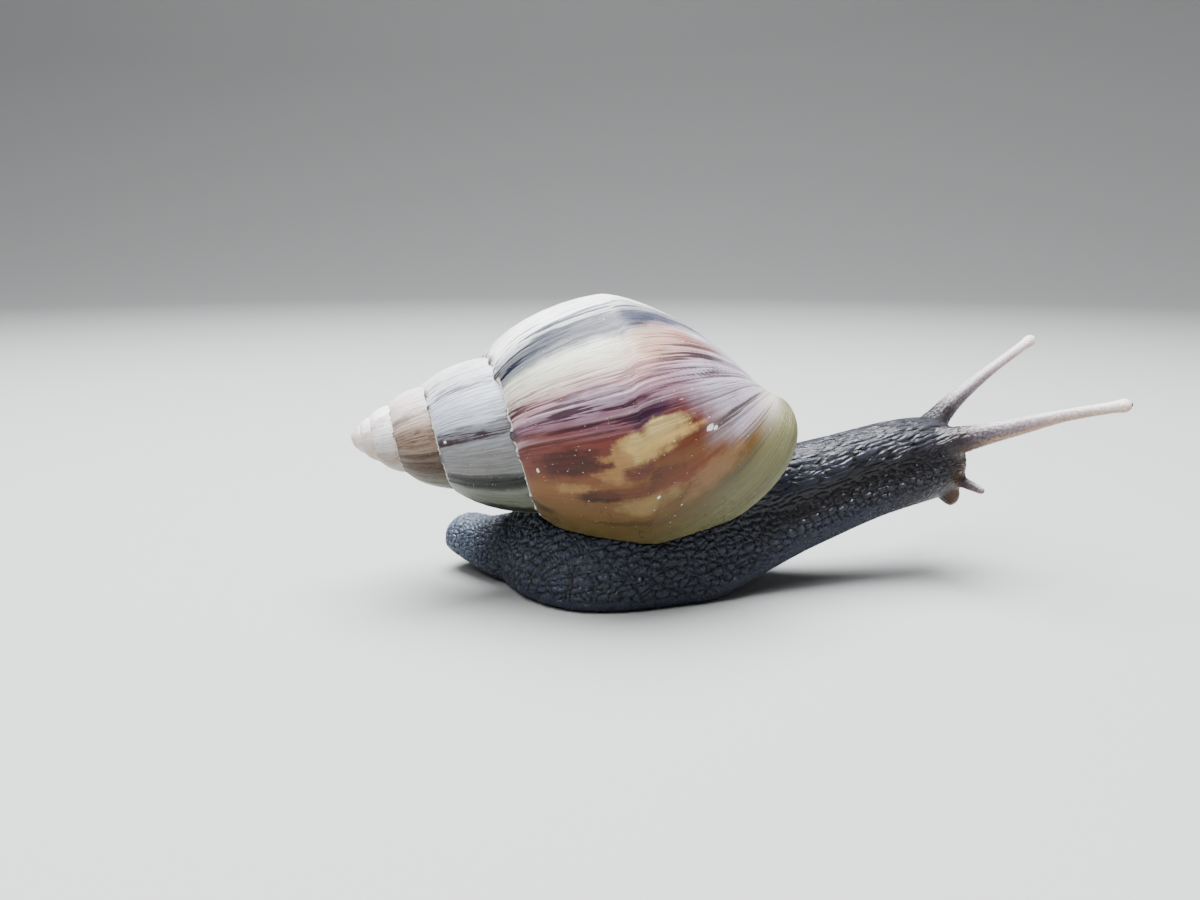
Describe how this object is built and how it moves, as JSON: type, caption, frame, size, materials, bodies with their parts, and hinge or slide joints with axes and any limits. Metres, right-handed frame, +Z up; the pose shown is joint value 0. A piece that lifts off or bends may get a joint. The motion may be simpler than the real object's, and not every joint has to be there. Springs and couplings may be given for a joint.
{
  "type": "giant african land snail",
  "caption": "Life-size giant African land snail, a still model crawling with its head raised, its feelers out and its tall conical banded shell carried over the foot",
  "frame": {"origin": "on the flat of the foot's sole, under the body whorl, at the level the snail rests on", "axes": "+X the way the snail crawls, +Y its left side, +Z up"},
  "size_m": [0.1183, 0.0504, 0.0463],
  "materials": {
    "shell": "polished lime shell, cream spire with dark streaks, red-brown and amber body whorl, olive lip",
    "flesh": "moist blue-black skin, pebbled and wrinkled",
    "feeler": "moist pinkish beige skin, finely grained",
    "eye": "small glossy dark bead"
  },
  "bodies": {
    "root": {"shell": "shell", "mantle": "flesh", "tail": "flesh", "foot": "flesh", "neck": "flesh", "head": "flesh", "mouth_lobe_right": "flesh", "mouth_lobe_left": "flesh", "lower_tentacle_right": "feeler", "lower_tentacle_left": "feeler", "upper_tentacle_right_base": "feeler", "upper_tentacle_right_shaft": "feeler", "upper_tentacle_left_base": "feeler", "upper_tentacle_left_shaft": "feeler", "eye_right": "eye", "eye_left": "eye"}
  },
  "joints": []
}
